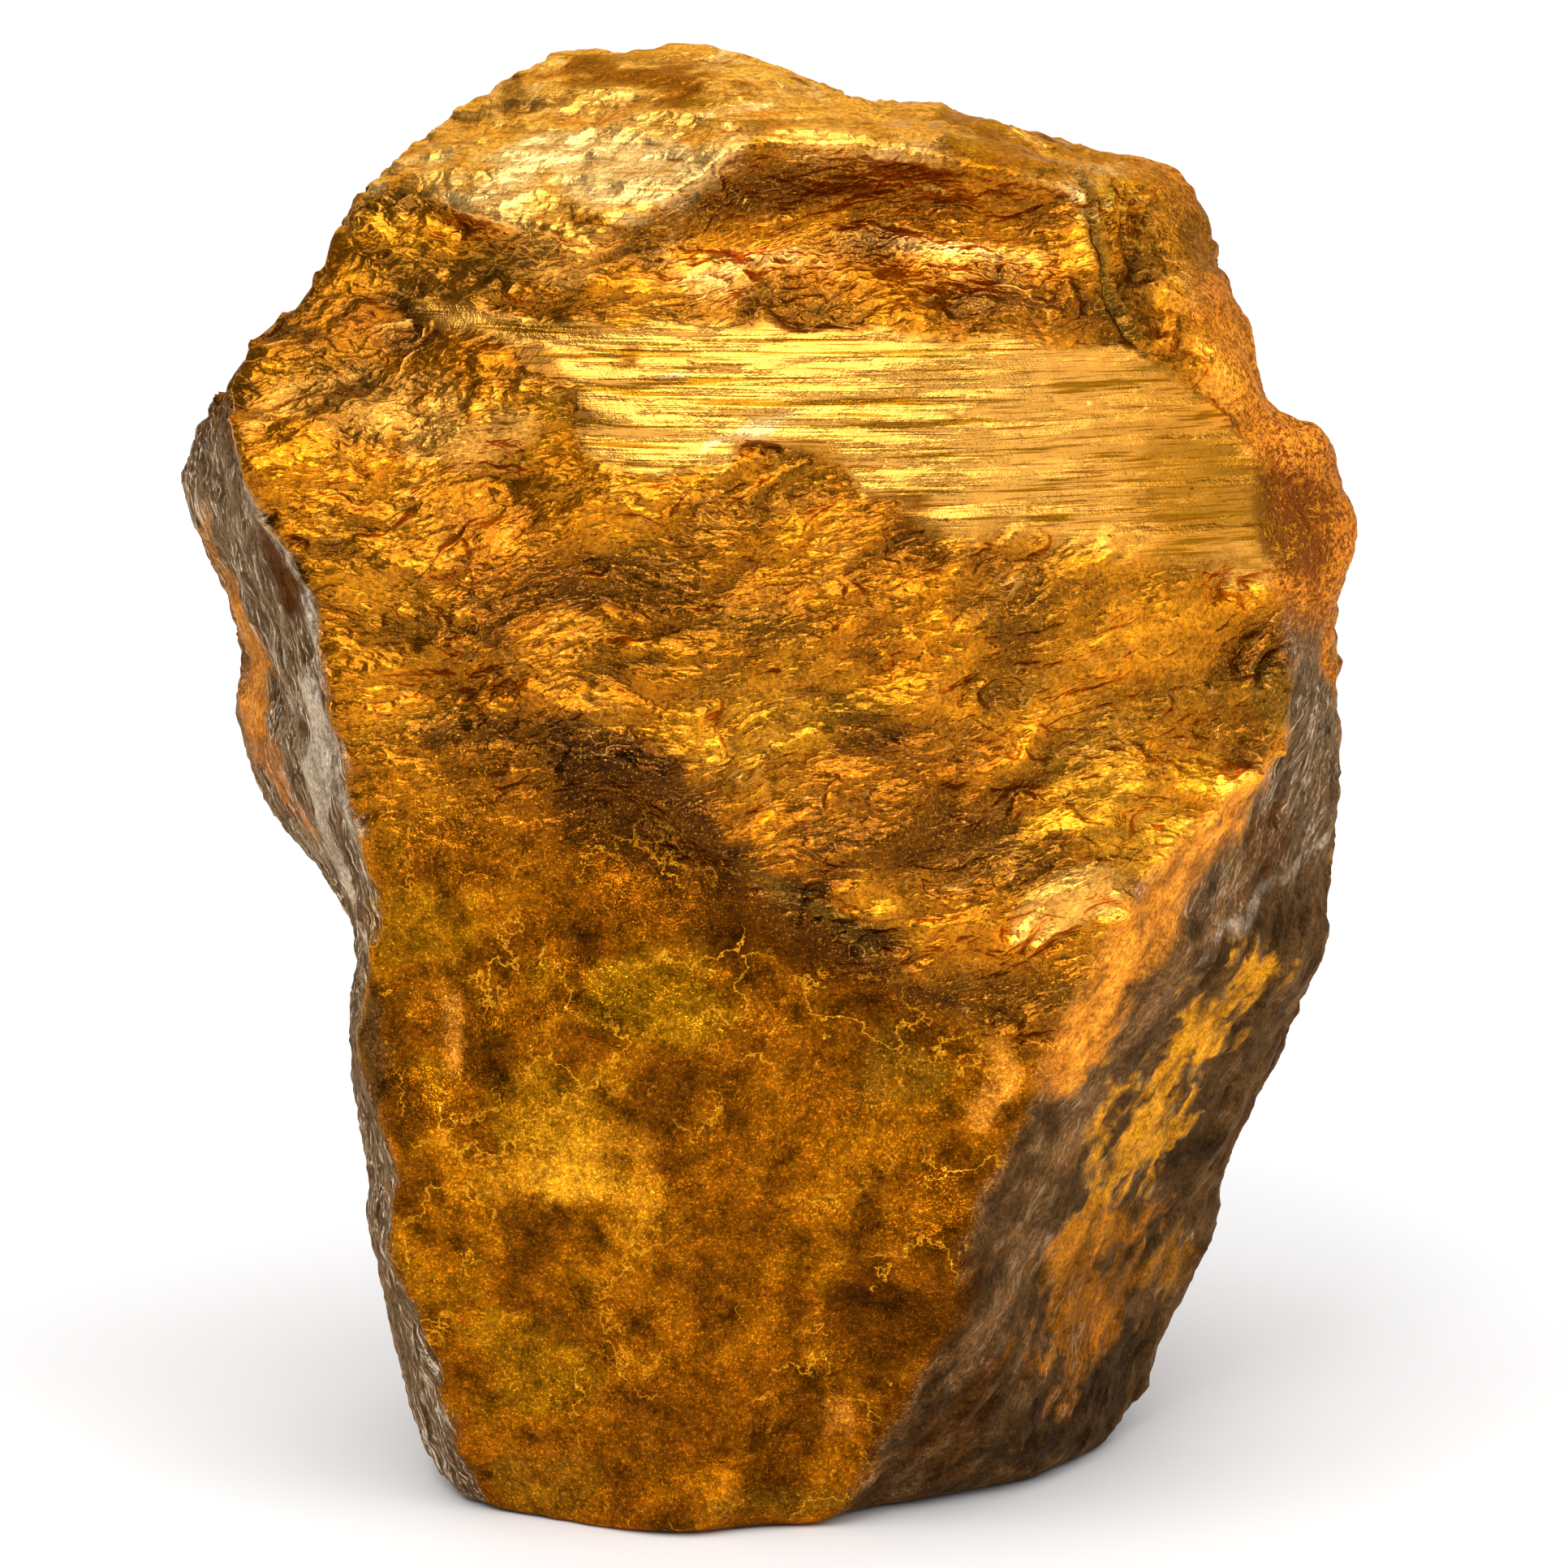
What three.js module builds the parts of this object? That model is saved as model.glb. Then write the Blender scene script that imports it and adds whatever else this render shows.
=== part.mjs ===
// A rough chunk of nellite: silky golden-brown fibrous quartz, broken on every side.
// It stands on its narrow end. X runs to the right, Y to the back and Z up, in millimetres.
import * as THREE from 'three';
import { mergeVertices } from 'three/addons/utils/BufferGeometryUtils.js';
import { ImprovedNoise } from 'three/addons/math/ImprovedNoise.js';

// Driving dimensions
const HEIGHT = 60;
const CORE = { x: 0, z: 30 };
const FACE_FRONT = -17.2;
const FACE_ROUNDING = 1.8;
const WAIST_ROUNDING = 0.45;
const GRID = 36;
const FLANK_STEPS = 14;
const MERGE_DISTANCE = 1e-3;

// Edge between the broad front face and the flanks, as [x, y, z], clockwise from the bottom.
// Its top is the lip over the shell-shaped hollow.
const FRONT_EDGE = [
  [-2.9, -13.4, -0.3], [-6.3, -12.4, -0.3], [-9, -11, 0], [-11.8, -9.6, 0.8], [-12.8, -10.6, 3.4],
  [-14, -11.5, 8], [-15.3, -12.5, 12], [-15, -13, 15], [-16.6, -12, 20.3], [-15.8, -13.5, 24],
  [-15.4, -14, 27], [-16.6, -13.5, 30], [-17.4, -13, 34], [-18.2, -12, 39], [-20.2, -11, 42.3],
  [-21.5, -10, 44.8], [-22.2, -8, 46.5], [-19.8, -7, 49.2], [-17, -5, 52.6], [-14, -6, 55],
  [-11, -9.5, 53.8], [-7, -11.5, 53.2], [-3, -11.5, 54.8], [-1.2, -11, 56.3], [2, -11, 56.8],
  [5.4, -11, 56.7], [8.6, -11, 56], [12.8, -10.5, 54.8], [14, -11, 51.4], [14.8, -11, 49.3],
  [18, -10.5, 46.2], [20, -10.5, 43], [20.8, -10, 39.5], [21.6, -10, 35.5], [21.2, -11, 32.2],
  [19.3, -13, 31], [16.6, -15, 29], [14.8, -16, 26.6], [12.7, -16.5, 23.5], [11.3, -16, 19.4],
  [9.9, -16, 16.6], [8.6, -15.5, 13.6], [8.2, -15, 10.2], [6, -13.5, 5.6], [4.3, -12.6, 2.4],
  [3.2, -11.8, -0.3],
];
// Widest outline, where the flanks turn to the back.
const WAIST = [
  [0.4, -2, -2.9], [-12.2, -6, -1.2], [-14, -3, 1], [-15.3, -2, 4.9], [-15.9, -1, 8.8],
  [-16.6, 0, 12.3], [-17, 0, 17.4], [-16.6, 1, 21.6], [-17.3, 1, 23.7], [-18.8, 3, 25.1],
  [-22, 4, 29.2], [-22.7, 4, 31.6], [-21.8, 3, 33.9], [-22.4, 2, 35.7], [-23.5, 3, 38.4],
  [-24.8, 2, 41.2], [-24.2, 1, 42.5], [-23.3, 0, 44.5], [-22.2, 0, 45.7], [-19.4, 1, 48.3],
  [-17.6, 2, 50.2], [-17.7, 2, 52.1], [-14.4, 2, 54.5], [-11.8, 1, 57.2], [-9.5, 0, 58.7],
  [-7.8, 0, 59.3], [-3.4, -1, 59.4], [0, -1, 58.8], [2.7, -1, 57.5], [3.9, 0, 57], [7.4, 1, 56.9],
  [8.5, 1, 56.3], [15, 0, 54.9], [17.7, -1, 53.6], [19, -1, 52.1], [19.3, -1, 50.8], [20.7, -3, 48.4],
  [20.5, -4, 46.5], [20.9, -5, 45.3], [22.7, -5, 44.1], [23.9, -5, 42.5], [24.4, -5, 40.6],
  [24.1, -4, 38.6], [23.7, -2, 36.5], [24.2, 0, 34.9], [24.4, 1, 28.4], [24.5, 2, 25.1],
  [24.4, 0, 21.6], [23.4, 1, 19], [22.3, 2, 15.7], [20.6, 2, 12.7], [19.6, 3, 9.3], [18.7, 3, 6.4],
  [17.3, 3, 3.3], [16.4, 2, 1.2], [14.9, -1, -0.3], [12.1, -4, -1.2], [8.2, -5, -2.5],
];
// Edge between the flanks and the broken back, as [x, z].
const BACK_EDGE = [
  [2, -1.2], [-9, -0.8], [-12.5, 5], [-13.5, 13], [-13.8, 20], [-17, 27], [-19, 34], [-20.5, 40],
  [-19.2, 45.5], [-14, 50.5], [-9, 54.6], [-3, 56.4], [5, 54.8], [12, 52.6], [16, 48], [19, 41],
  [20.5, 33], [19.6, 25], [17.2, 18], [15.2, 10], [12.6, 3], [10, -0.8],
];
// Fracture planes of the back: depth at the core, and slope along X and Z.
const BACK_PLANES = [
  [17.5, 0.12, -0.08], [20.5, -0.52, 0.1], [21, 0.5, 0.12], [19.5, 0.1, -0.55], [18.5, -0.08, 0.3],
];

// Forms of the front face, as [x, z].
// Flat band of parallel fibres.
const BAND = [
  [-16.5, 50.8], [-12, 49], [-9.3, 48.2], [-7.3, 47], [-8.8, 44.2], [0, 43.2], [6, 42.2], [14, 41.4],
  [20.6, 41.6], [20, 43.4], [18, 46.4], [14.9, 49.2], [4, 50.2], [-8, 50.4],
];
// Raised chip to the left of the band.
const CHIP = [
  [-23, 45.8], [-20, 48.8], [-16.5, 49.4], [-11.5, 49], [-9.3, 48.2], [-7.3, 47], [-8, 45.8],
  [-9, 44.2], [-14, 43.4], [-21.5, 43],
];
const CHIP_HEIGHT = 0.9;
const BAND_CUT = 0.5;
// Depth of the hollow under its lip, as [x, depth].
const HOLLOW = [[-15, 0], [-11, 0.8], [-3.5, 1.4], [0, 2.6], [8, 3], [13.5, 1]];
// Ledge that crosses the face from the left to the lower right.
const LEDGE = [[-12, 33.6], [-6, 32.9], [-2.5, 30.2], [0.5, 27], [5.3, 23.9], [12, 20.4]];
const LEDGE_DROP = 0.7;
// Small chips knocked out below the band: [x, z, half width, half height, depth].
const NICKS = [[1.2, 43.9, 2.6, 1.2, 0.7], [6.4, 40.8, 1, 1.9, 0.6], [-8.5, 46.2, 1.2, 1, 0.6]];
// Granular lumps of the right shoulder: [x, z, radius, height].
const SHOULDER_LUMPS = [
  [16.6, 53.6, 2, 0.7], [18, 49.6, 1.8, 0.8], [19, 46.8, 1.6, 0.7], [21.8, 43.6, 2, 0.9],
  [22.6, 40.4, 2.2, 0.9], [21.6, 37.8, 1.6, 0.6],
];

// Where each form fades in or out, as [none, full]: a distance in millimetres, or a share of the form.
const BAND_EDGE = [-0.5, 0.5];
const CHIP_EDGE = [-0.3, 0.7];
const HOLLOW_WALL = [0, 3];
const HOLLOW_FLOOR_END = [9, 5];
const HOLLOW_FOOT = [49.8, 52.2];
const BELOW_LEDGE = [0, 3];
const LEDGE_EDGE = [-0.8, 2];
const LEDGE_FOOT = [12, 3];
const LEDGE_START = [-14, -7];
const NICK_EDGE = [1.1, 0.4];
const LUMP_EDGE = [1, 0.2];
const CROWN = [52, 55];
const FLANK_EDGE = [0, 0.3];
// How far a surface has to turn to the front or the back to carry that side's relief.
const FRONT_TURN = [0.3, 0.75];
const BACK_TURN = [0.2, 0.7];

// Relief of the broken surfaces: its height, its grain along X, Y and Z, and its seed.
const WAVE_RISE = 0.2;
const WAVES = { height: 0.8, size: [8, 9, 4.4], seed: 3.7 };
const RIPPLES = { height: 0.5, size: [4, 5, 2.6], seed: 8.1 };
const MOTTLES = { height: 0.8, size: [6, 9, 5], seed: 5.3 };
const FINE_MOTTLES = { height: 0.35, size: [3.2, 5, 3.2], seed: 1.9 };
const STREAKS = { height: 0.6, size: [6, 5.5, 16], seed: 2.2 };
const FLANK_LUMPS = { height: 0.6, size: [4, 3, 6], seed: 6.4 };
const CROWN_STEP = 0.7;
const CROWN_PITCH = 2.8;
const CROWN_BENDS = { height: 0.5, size: [9, 5, 5], seed: 4.1 };
const CROWN_LUMPS = { height: 0.4, size: [5, 1.6, 2], seed: 7.3 };
const SHELLS = { height: 1.6, size: [13, 12, 9], seed: 9.4 };
const BACK_LUMPS = { height: 0.9, size: [4.4, 4, 3.4], seed: 0.6 };
const CREST_LIFT = 0.4;

const noise = new ImprovedNoise();

// 0 at the first end of a fade, 1 at the other.
function smooth([none, full], value) {
  const t = THREE.MathUtils.clamp((value - none) / (full - none), 0, 1);
  return t * t * (3 - 2 * t);
}

// Rolling relief about zero.
function roll(p, { height, size, seed }) {
  return height * noise.noise(p.x / size[0] + seed, p.y / size[1] + seed * 2, p.z / size[2] + seed * 3);
}

// The same, folded into sharp crests with round troughs between them.
function crest(p, relief) {
  return relief.height * CREST_LIFT - 2 * Math.abs(roll(p, relief));
}

// Distance to a polygon's edge in the XZ plane, positive inside.
function depthInside(polygon, x, z) {
  let nearest = Infinity;
  let inside = false;
  for (let i = 0; i < polygon.length; i += 1) {
    const [ax, az] = polygon[i];
    const [bx, bz] = polygon[(i + 1) % polygon.length];
    const share = ((x - ax) * (bx - ax) + (z - az) * (bz - az)) / ((bx - ax) ** 2 + (bz - az) ** 2);
    const along = THREE.MathUtils.clamp(share, 0, 1);
    nearest = Math.min(nearest, Math.hypot(x - ax - along * (bx - ax), z - az - along * (bz - az)));
    if (az > z !== bz > z && x < ax + ((z - az) / (bz - az)) * (bx - ax)) {
      inside = !inside;
    }
  }
  return inside ? nearest : -nearest;
}

// Height of an open line of [x, z] points at x.
function lineAt(line, x) {
  const last = line.length - 1;
  const next = line.findIndex(([lineX]) => lineX > x);
  if (next === 0) {
    return line[0][1];
  }
  if (next < 0) {
    return line[last][1];
  }
  const [ax, az] = line[next - 1];
  const [bx, bz] = line[next];
  return THREE.MathUtils.mapLinear(x, ax, bx, az, bz);
}

// Where a ray from the core, at an angle in the XZ plane, meets a closed outline.
function meet(outline, angle) {
  const dx = Math.cos(angle);
  const dz = Math.sin(angle);
  for (let i = 0; i < outline.length; i += 1) {
    const a = outline[i];
    const b = outline[(i + 1) % outline.length];
    const sideA = dx * (a[2] - CORE.z) - dz * (a[0] - CORE.x);
    const sideB = dx * (b[2] - CORE.z) - dz * (b[0] - CORE.x);
    if (sideA >= 0 && sideB < 0) {
      return new THREE.Vector3(...a).lerp(new THREE.Vector3(...b), sideA / (sideA - sideB));
    }
  }
  throw new Error('The outline does not go round the core');
}

// Depth of the back at a point: the nearest of its fracture planes.
function backDepth(x, z) {
  const planes = BACK_PLANES.map(([depth, slopeX, slopeZ]) => depth + slopeX * x + slopeZ * (z - CORE.z));
  return Math.min(...planes);
}

// Angle of a point of the unit square, spread evenly along each side.
function squareAngle(u, v) {
  if (u === 0 && v === 0) {
    return 0;
  }
  if (Math.abs(u) >= Math.abs(v)) {
    return (Math.PI / 4) * (v / u) + (u < 0 ? Math.PI : 0);
  }
  return Math.PI / 2 - (Math.PI / 4) * (u / v) + (v < 0 ? Math.PI : 0);
}

// Lays a point of the cube [-1, 1] on the stone: w = 1 is the front face, w = -1 the back.
function place(u, v, w) {
  const reach = Math.max(Math.abs(u), Math.abs(v));
  const angle = squareAngle(u, v);
  const front = meet(FRONT_EDGE, angle);
  const waist = meet(WAIST, angle);
  const back = meet(BACK_EDGE.map(([x, z]) => [x, 0, z]), angle);
  const outline = w > 0 ? front : back;
  if (Math.abs(w) === 1) {
    const x = CORE.x + reach * (outline.x - CORE.x);
    const z = CORE.z + reach * (outline.z - CORE.z);
    const faceDepth = THREE.MathUtils.lerp(FACE_FRONT, front.y, reach ** FACE_ROUNDING);
    return new THREE.Vector3(x, w > 0 ? faceDepth : backDepth(x, z), z);
  }
  back.y = backDepth(back.x, back.z);
  const bent = waist.clone().lerp(w > 0 ? front : back, Math.abs(w));
  const round = waist.clone().multiplyScalar(1 - w * w);
  round.addScaledVector(front, (w * w + w) / 2);
  round.addScaledVector(back, (w * w - w) / 2);
  return bent.lerp(round, WAIST_ROUNDING);
}

// Relief of the front face: hollow, flat band, raised chip, ledge, nicks and silky waves.
function faceRelief(p) {
  const inBand = smooth(BAND_EDGE, depthInside(BAND, p.x, p.z));
  const inChip = smooth(CHIP_EDGE, depthInside(CHIP, p.x, p.z));
  const belowLip = depthInside(FRONT_EDGE.map(([x, , z]) => [x, z]), p.x, p.z);
  const belowLedge = lineAt(LEDGE, p.x) - p.z;
  const tilted = new THREE.Vector3(p.x, p.y, p.z - WAVE_RISE * p.x);
  const waves = crest(tilted, WAVES) + roll(tilted, RIPPLES);
  const mottles = roll(p, MOTTLES) + roll(p, FINE_MOTTLES);
  let height = THREE.MathUtils.lerp(waves, mottles, smooth(BELOW_LEDGE, belowLedge)) * (1 - inBand);
  const onHollowFloor = smooth(HOLLOW_WALL, belowLip) * smooth(HOLLOW_FLOOR_END, belowLip);
  height -= lineAt(HOLLOW, p.x) * onHollowFloor * smooth(HOLLOW_FOOT, p.z);
  height -= BAND_CUT * inBand * (1 - inChip);
  height += CHIP_HEIGHT * inChip;
  const dropped = smooth(LEDGE_EDGE, belowLedge) * smooth(LEDGE_FOOT, belowLedge);
  height -= LEDGE_DROP * dropped * smooth(LEDGE_START, p.x);
  for (const [x, z, halfWidth, halfHeight, depth] of NICKS) {
    height -= depth * smooth(NICK_EDGE, Math.hypot((p.x - x) / halfWidth, (p.z - z) / halfHeight));
  }
  return height;
}

// Relief of the flanks and the top: streaks that run up the stone, ledges on top, lumps on the shoulder.
function flankRelief(p) {
  const streaks = crest(p, STREAKS) + roll(p, FLANK_LUMPS);
  const steps = p.y / CROWN_PITCH + roll(p, CROWN_BENDS);
  const ledges = CROWN_STEP * (steps - Math.floor(steps)) + roll(p, CROWN_LUMPS);
  let height = THREE.MathUtils.lerp(streaks, ledges, smooth(CROWN, p.z));
  for (const [x, z, radius, lift] of SHOULDER_LUMPS) {
    height += lift * smooth(LUMP_EDGE, Math.hypot(p.x - x, p.z - z) / radius);
  }
  return height;
}

// Relief of the broken back: wide shells with a coarse grain.
function backRelief(p) {
  return crest(p, SHELLS) + roll(p, BACK_LUMPS);
}

// Splits each cell of a box's grid along its shorter diagonal, which keeps sheared cells even.
// The cells lie six corners apart in the index.
function splitCellsShort(geometry) {
  const position = geometry.getAttribute('position');
  const index = geometry.index;
  const corner = (i) => new THREE.Vector3().fromBufferAttribute(position, i);
  for (let i = 0; i < index.count; i += 6) {
    const [a, b, d, c] = [index.getX(i), index.getX(i + 1), index.getX(i + 2), index.getX(i + 4)];
    if (corner(a).distanceTo(corner(c)) < corner(b).distanceTo(corner(d))) {
      [a, b, c, a, c, d].forEach((vertex, k) => index.setX(i + k, vertex));
    }
  }
}

function stoneGeometry() {
  const geometry = new THREE.BoxGeometry(2, 2, 2, GRID, GRID, FLANK_STEPS);
  const grid = geometry.getAttribute('position');
  const fromEdge = new THREE.BufferAttribute(new Float32Array(grid.count), 1);
  for (let i = 0; i < grid.count; i += 1) {
    const [u, v, w] = [grid.getX(i), grid.getY(i), grid.getZ(i)];
    const p = place(u, v, w);
    grid.setXYZ(i, p.x, p.y, p.z);
    fromEdge.setX(i, 1 - (Math.abs(w) === 1 ? Math.max(Math.abs(u), Math.abs(v)) : Math.abs(w)));
  }
  geometry.setAttribute('fromEdge', fromEdge);
  geometry.deleteAttribute('normal');
  geometry.deleteAttribute('uv');
  const stone = mergeVertices(geometry, MERGE_DISTANCE);
  stone.computeVertexNormals();
  raiseRelief(stone);
  splitCellsShort(stone);
  stone.deleteAttribute('normal');
  stone.deleteAttribute('fromEdge');
  standOnBase(stone);
  return stone;
}

// Moves each point by the relief of the side that it faces: the face's forward, the rest along the normal.
function raiseRelief(stone) {
  const position = stone.getAttribute('position');
  const normals = stone.getAttribute('normal');
  const fromEdge = stone.getAttribute('fromEdge');
  for (let i = 0; i < position.count; i += 1) {
    const p = new THREE.Vector3().fromBufferAttribute(position, i);
    const n = new THREE.Vector3().fromBufferAttribute(normals, i);
    const frontShare = smooth(FRONT_TURN, -n.y);
    const backShare = smooth(BACK_TURN, n.y);
    const flankShare = (1 - frontShare - backShare) * smooth(FLANK_EDGE, fromEdge.getX(i));
    const outward = backShare * backRelief(p) + flankShare * flankRelief(p);
    p.y -= frontShare * faceRelief(p);
    p.addScaledVector(n, outward);
    position.setXYZ(i, p.x, p.y, p.z);
  }
}

// Rubs the foot flat, brings the stone to its height and centres it over the origin.
function standOnBase(stone) {
  const position = stone.getAttribute('position');
  for (let i = 0; i < position.count; i += 1) {
    position.setZ(i, Math.max(position.getZ(i), 0));
  }
  stone.computeBoundingBox();
  const { min, max } = stone.boundingBox;
  stone.translate(-(min.x + max.x) / 2, -(min.y + max.y) / 2, 0);
  stone.scale(HEIGHT / max.z, HEIGHT / max.z, HEIGHT / max.z);
}

const goldenBrown = new THREE.MeshStandardMaterial({ color: 0xb5761c, roughness: 0.42, metalness: 0.15 });

const stone = new THREE.Mesh(stoneGeometry(), goldenBrown);
stone.name = 'nellite_stone';

const nellite = new THREE.Group();
nellite.name = 'rough_nellite';
nellite.add(stone);

export default nellite;
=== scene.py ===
import math

import bmesh
import bpy
import numpy as np
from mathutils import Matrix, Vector, noise


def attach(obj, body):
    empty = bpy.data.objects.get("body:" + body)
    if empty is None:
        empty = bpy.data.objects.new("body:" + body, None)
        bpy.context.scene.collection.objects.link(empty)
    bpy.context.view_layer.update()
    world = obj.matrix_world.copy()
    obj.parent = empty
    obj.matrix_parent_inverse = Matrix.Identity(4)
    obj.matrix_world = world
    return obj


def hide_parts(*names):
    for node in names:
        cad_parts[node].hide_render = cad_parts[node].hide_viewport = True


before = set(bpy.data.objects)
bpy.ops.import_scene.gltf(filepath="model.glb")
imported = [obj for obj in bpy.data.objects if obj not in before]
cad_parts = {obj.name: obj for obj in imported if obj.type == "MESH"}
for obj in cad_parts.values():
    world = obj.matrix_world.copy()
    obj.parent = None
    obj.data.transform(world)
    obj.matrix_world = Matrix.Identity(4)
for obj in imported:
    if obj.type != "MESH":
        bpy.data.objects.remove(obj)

# The stone: a rough chunk of nellite, silky golden fibrous quartz with a grey weathered skin.
# Lengths are millimetres in the frame: X to the right, Y to the back, Z up.
MM = 0.001
TRIANGLES = 195000
SPLITS = 3
# Corners of the solid this close together are one corner.
MERGE = 0.001
# The middle of the sharp-crested noise.
CREST_LEVEL = 1.03
# The part of a flake's height where its lip stands out, and how steep the painted lips are.
LIP_AT = 0.84
ARC_SHARPNESS = 7
# The fibres of the band rise to the right, in degrees.
FIBRE_TILT = 2.5
# How deep the crack by the shoulder is cut.
CLEFT_DEPTH = 0.35
# The camera: its lens and sensor in millimetres, degrees above the floor, distance and target.
LENS = 150
SENSOR = 36
CAMERA_HEIGHT = 10
CAMERA_AWAY = 276.7
CAMERA_TARGET = (0.92, 0, 28.88)
# Lights, as (name, azimuth, elevation, spread in degrees, power).
LIGHTS = [
    ("wide_key", -14, 56, 75, 3.0),
    ("glint", -14, 44, 14, 0.4),
    ("fill", 62, 25, 60, 0.9),
    ("back", 175, 42, 80, 1.0),
]
# Large odd numbers that turn a place into a random tilt.
SCRAMBLE = np.array([[12.9898, 78.233, 37.719], [39.346, 11.135, 83.155], [73.156, 52.235, 9.151]])
SCRAMBLE_REACH = 43758.5
# Blender's vector noise starts from the clock unless it is given a seed.
SEED = 11
noise.seed_set(SEED)
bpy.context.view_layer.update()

# Colours of the rock, as linear red, green and blue.
CREAM = (0.96, 0.6, 0.22)
STRAW = (0.86, 0.39, 0.06)
GOLD = (0.54, 0.19, 0.005)
AMBER = (0.42, 0.13, 0.002)
BROWN = (0.27, 0.076, 0.0015)
UMBER = (0.1, 0.028, 0.001)
OLIVE = (0.3, 0.12, 0.002)
MOSS = (0.15, 0.07, 0.004)
ORANGE = (0.95, 0.32, 0.025)
RUST = (0.78, 0.24, 0.022)
OXBLOOD = (0.24, 0.06, 0.008)
SKIN = (0.19, 0.108, 0.052)
SLATE = (0.1, 0.046, 0.014)
ASH = (0.98, 0.82, 0.62)
DRAB = (0.23, 0.105, 0.032)
HONEY = (0.9, 0.36, 0.012)
SOOT = (0.035, 0.017, 0.006)

# Where the front face ends, as (height, x), going up.
LEFT_RIDGE = [
    (0, -11.6), (3.4, -12.8), (8, -14), (12, -15.3), (15, -15), (20.3, -16.6), (24, -15.8),
    (27, -15.4), (30, -16.6), (34, -17.4), (39, -18.2), (42.3, -20.2), (44.8, -21.5), (46.5, -22.2),
    (50, -26),
]
RIGHT_RIDGE = [
    (0, 3.2), (2.4, 4.3), (5.6, 6), (10.2, 8.2), (13.6, 8.6), (19.4, 11.3), (23.5, 12.7),
    (26.6, 14.8), (29, 16.6), (31, 19.3), (32.2, 21.2), (35.5, 21.6), (39.5, 20.8), (43, 20.4),
    (46.2, 19.6), (49.3, 18.6), (51.4, 17.6), (54.8, 16.2), (60, 15),
]
# Lip over the hollow, top and foot of the fibre band, and the ledge across the face, as (x, height).
LIP = [
    (-18, 53), (-14, 54.5), (-11, 53.6), (-7, 53), (-3, 54.6), (-1.2, 56), (2, 56.6), (8.6, 55.8),
    (12.8, 54.6),
]
BAND_TOP = [(-17, 50.4), (-8, 50), (4, 49.6), (14.9, 48.8), (18, 46.6), (21, 43)]
BAND_FOOT = [
    (-17, 49.9), (-14.5, 49.7), (-11.2, 48.9), (-9.5, 48.2), (-7.5, 47.2), (-7.2, 45), (-6.6, 44.3),
    (-1.6, 44), (-0.6, 44.7), (1.4, 45), (3.2, 44.4), (4, 43), (5.4, 43), (5.8, 41.8), (10, 41),
    (15, 39.8), (21, 38.8),
]
LEDGE = [(-16, 33), (-12, 33.6), (-6, 32.9), (-2.5, 30.2), (0.5, 27), (5.3, 23.9), (12, 20.4)]
CRACK = [(49, 14.9), (50.4, 14.2), (53, 13.4), (55, 12.9)]

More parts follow.
